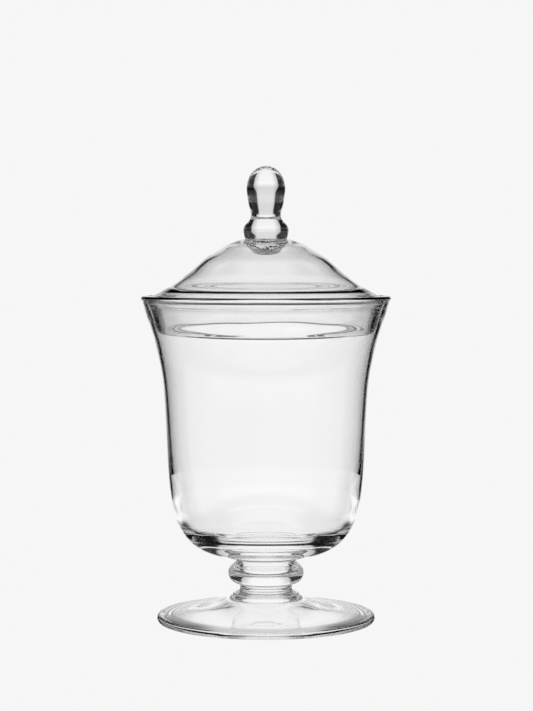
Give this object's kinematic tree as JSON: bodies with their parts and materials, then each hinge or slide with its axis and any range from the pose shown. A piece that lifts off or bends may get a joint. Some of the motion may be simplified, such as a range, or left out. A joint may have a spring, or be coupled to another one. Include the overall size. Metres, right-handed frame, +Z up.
{
  "type": "apothecary jar",
  "caption": "Footed clear glass jar with a flared mouth and a loose domed lid with a knob, for dry goods or pharmacy stock.",
  "frame": {"origin": "centre of the ring that the foot stands on", "axes": "+Z up along the axis that the jar and lid are turned about; the lid lifts along +Z"},
  "size_m": [0.1404, 0.1404, 0.2564],
  "materials": {
    "clear_glass": "clear colourless soda glass, fire polished, very slight hand-made unevenness"
  },
  "bodies": {
    "jar": {"foot": "clear_glass", "lower_merese": "clear_glass", "knop": "clear_glass", "upper_merese": "clear_glass", "bowl": "clear_glass"},
    "lid": {"lid_dome": "clear_glass", "lid_collar": "clear_glass", "crown_pad": "clear_glass", "knob_collar": "clear_glass", "knob": "clear_glass"}
  },
  "joints": [
    {"name": "lid_lift", "type": "slide", "parent": "jar", "child": "lid", "axis": [0, 0, 1], "range_m": [0, 0.08]}
  ]
}
